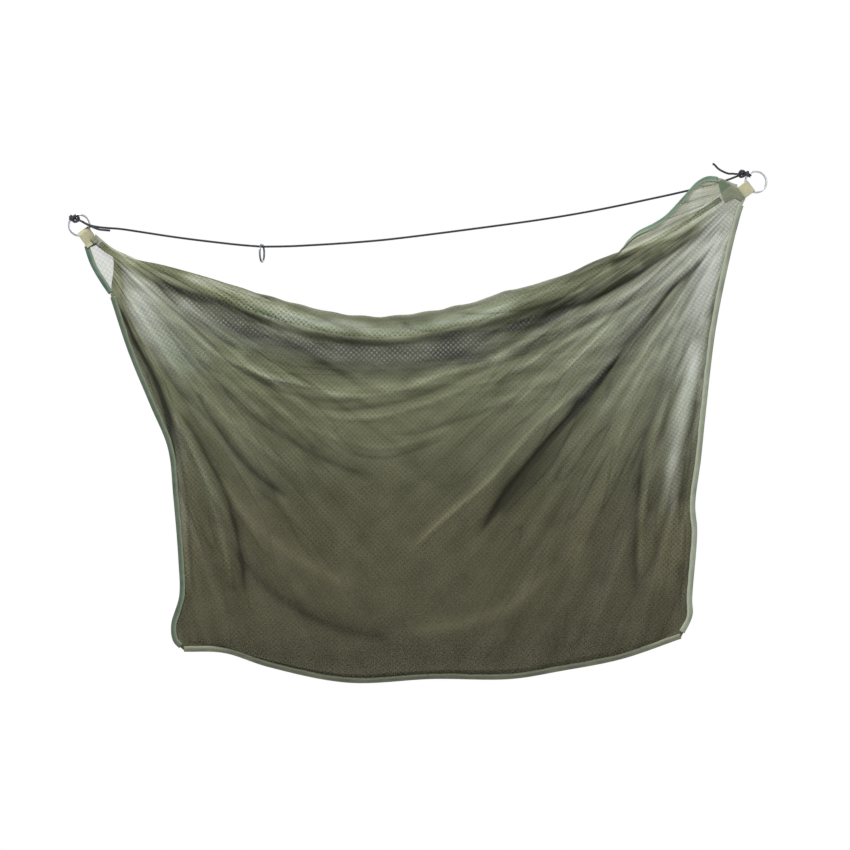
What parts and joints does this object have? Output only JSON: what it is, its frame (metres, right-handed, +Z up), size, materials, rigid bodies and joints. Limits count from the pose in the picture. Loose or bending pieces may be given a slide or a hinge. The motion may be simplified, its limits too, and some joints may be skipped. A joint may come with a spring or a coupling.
{
  "type": "carp sack",
  "caption": "Mesh fish-keeping sack with bound seams, an open mouth with a turned-in hem, corner rings and a draw cord tied between them.",
  "frame": {"origin": "centre of the left corner ring", "axes": "+X across to the right corner as seen from the front, +Z up, -Y towards the viewer"},
  "size_m": [1.2242, 0.1704, 0.9099],
  "materials": {
    "mesh": "olive-green knitted polyester mesh with open holes",
    "binding": "green folded binding tape, stitched",
    "patch": "olive woven reinforcement cloth",
    "webbing": "tan-olive woven webbing",
    "steel": "polished steel wire",
    "cord": "near-black braided cord"
  },
  "bodies": {
    "sack": {"front_panel": "mesh", "back_panel": "mesh", "front_rim_binding": "binding", "back_rim_binding": "binding", "mouth_end_binding": "binding", "left_side_binding": "binding", "right_side_binding": "binding", "bottom_binding": "binding", "left_front_patch": "patch", "left_back_patch": "patch", "right_front_patch": "patch", "right_back_patch": "patch", "left_webbing_tab": "webbing", "right_webbing_tab": "webbing", "draw_cord": "cord", "left_cord_tail": "cord"},
    "left_ring_body": {"left_ring": "steel", "left_knot": "cord"},
    "right_ring_body": {"right_ring": "steel", "right_knot": "cord", "right_cord_tail": "cord"},
    "slide_ring_body": {"slide_ring": "steel"}
  },
  "joints": [
    {"name": "left_ring_swing", "type": "hinge", "parent": "sack", "child": "left_ring_body", "pos_m": [0.00923, 0, -0.01303], "axis": [0.8161, 0, 0.5779], "range_deg": [-90, 90], "deforming": ["draw_cord", "left_cord_tail"]},
    {"name": "right_ring_swing", "type": "hinge", "parent": "sack", "child": "right_ring_body", "pos_m": [1.17125, 0, 0.06599], "axis": [-0.6018, 0, 0.7986], "range_deg": [-90, 90], "deforming": ["draw_cord"]},
    {"name": "slide_ring_travel", "type": "slide", "parent": "sack", "child": "slide_ring_body", "axis": [0.9921, 0, 0.1255], "range_m": [0, 0.68], "deforming": ["draw_cord"]}
  ]
}
